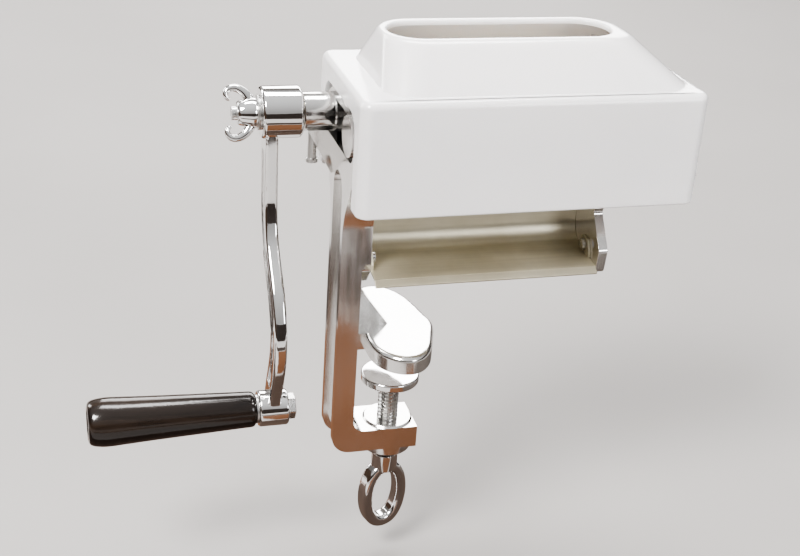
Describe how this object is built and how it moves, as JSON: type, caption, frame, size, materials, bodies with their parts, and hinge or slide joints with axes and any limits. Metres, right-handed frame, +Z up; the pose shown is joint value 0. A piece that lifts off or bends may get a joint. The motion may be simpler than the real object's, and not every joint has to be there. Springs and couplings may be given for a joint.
{
  "type": "crank meat tenderizer machine",
  "caption": "Clamp-on hand-cranked meat tenderizer: a top feed slot leads between two spiked plastic rollers under a white cover, with a crank, a gear pair and a table clamp.",
  "frame": {"origin": "centre of the fixed jaw's flat underside, which rests on the table top, on the clamp screw's axis", "axes": "+Z up out of the table; +X along the rollers, away from the crank; -Y towards the side where the meat comes out"},
  "size_m": [0.2673, 0.0786, 0.2557],
  "materials": {
    "cast_aluminium": "polished",
    "chrome": "mirror polish",
    "steel": "bright zinc, fine brushing",
    "chute_steel": "warm satin sheet",
    "cover_white": "gloss",
    "roller_cream": "satin",
    "gear_plastic": "satin",
    "grip_black": "gloss",
    "bush_brass": "machined"
  },
  "bodies": {
    "frame": {"clamp_frame": "cast_aluminium", "far_end_plate": "cast_aluminium", "front_tie_rod": "steel", "rear_tie_rod": "steel", "lower_tie_rod": "steel", "tie_rod_nuts": "steel", "cover_back_nuts": "steel", "cover_flat_nuts": "chrome", "safety_cover": "cover_white", "discharge_chute": "chute_steel", "chute_screws": "steel", "near_bushes": "bush_brass", "far_bushes": "bush_brass", "thrust_washers": "bush_brass", "bush_set_screw": "steel"},
    "drive": {"drive_roller": "roller_cream", "drive_shaft": "steel", "drive_gear": "gear_plastic", "drive_shaft_clip": "steel", "crank_arm": "chrome", "crank_washer": "steel", "wing_nut": "chrome", "grip_spindle": "steel", "grip_washer": "steel", "grip_lock_nut": "steel"},
    "driven": {"driven_roller": "roller_cream", "driven_shaft": "steel", "driven_gear": "gear_plastic", "driven_shaft_clip": "steel"},
    "grip": {"handle_grip": "grip_black"},
    "pad": {"swivel_pad": "chrome"},
    "screw": {"clamp_screw": "steel", "screw_bow_handle": "chrome"}
  },
  "joints": [
    {"name": "crank_turn", "type": "hinge", "parent": "frame", "child": "drive", "pos_m": [0, 0.017, 0.1065], "axis": [1, 0, 0], "continuous": true},
    {"name": "driven_roller_turn", "type": "hinge", "parent": "frame", "child": "driven", "pos_m": [0, -0.017, 0.1065], "axis": [1, 0, 0], "continuous": true},
    {"name": "grip_spin", "type": "hinge", "parent": "drive", "child": "grip", "pos_m": [-0.1, -0.005, -0.031], "axis": [1, 0, 0], "continuous": true},
    {"name": "clamp_travel", "type": "slide", "parent": "frame", "child": "pad", "axis": [0, 0, 1], "range_m": [-0.0155, 0.0035]},
    {"name": "clamp_screw_turn", "type": "hinge", "parent": "pad", "child": "screw", "pos_m": [0, 0, -0.05], "axis": [0, 0, 1], "range_deg": [-2790, 630]}
  ],
  "couplings": [
    {"joint": "driven_roller_turn", "follows": "crank_turn", "ratio": -1},
    {"joint": "clamp_screw_turn", "follows": "clamp_travel", "rad_per_m": 3141.6}
  ]
}
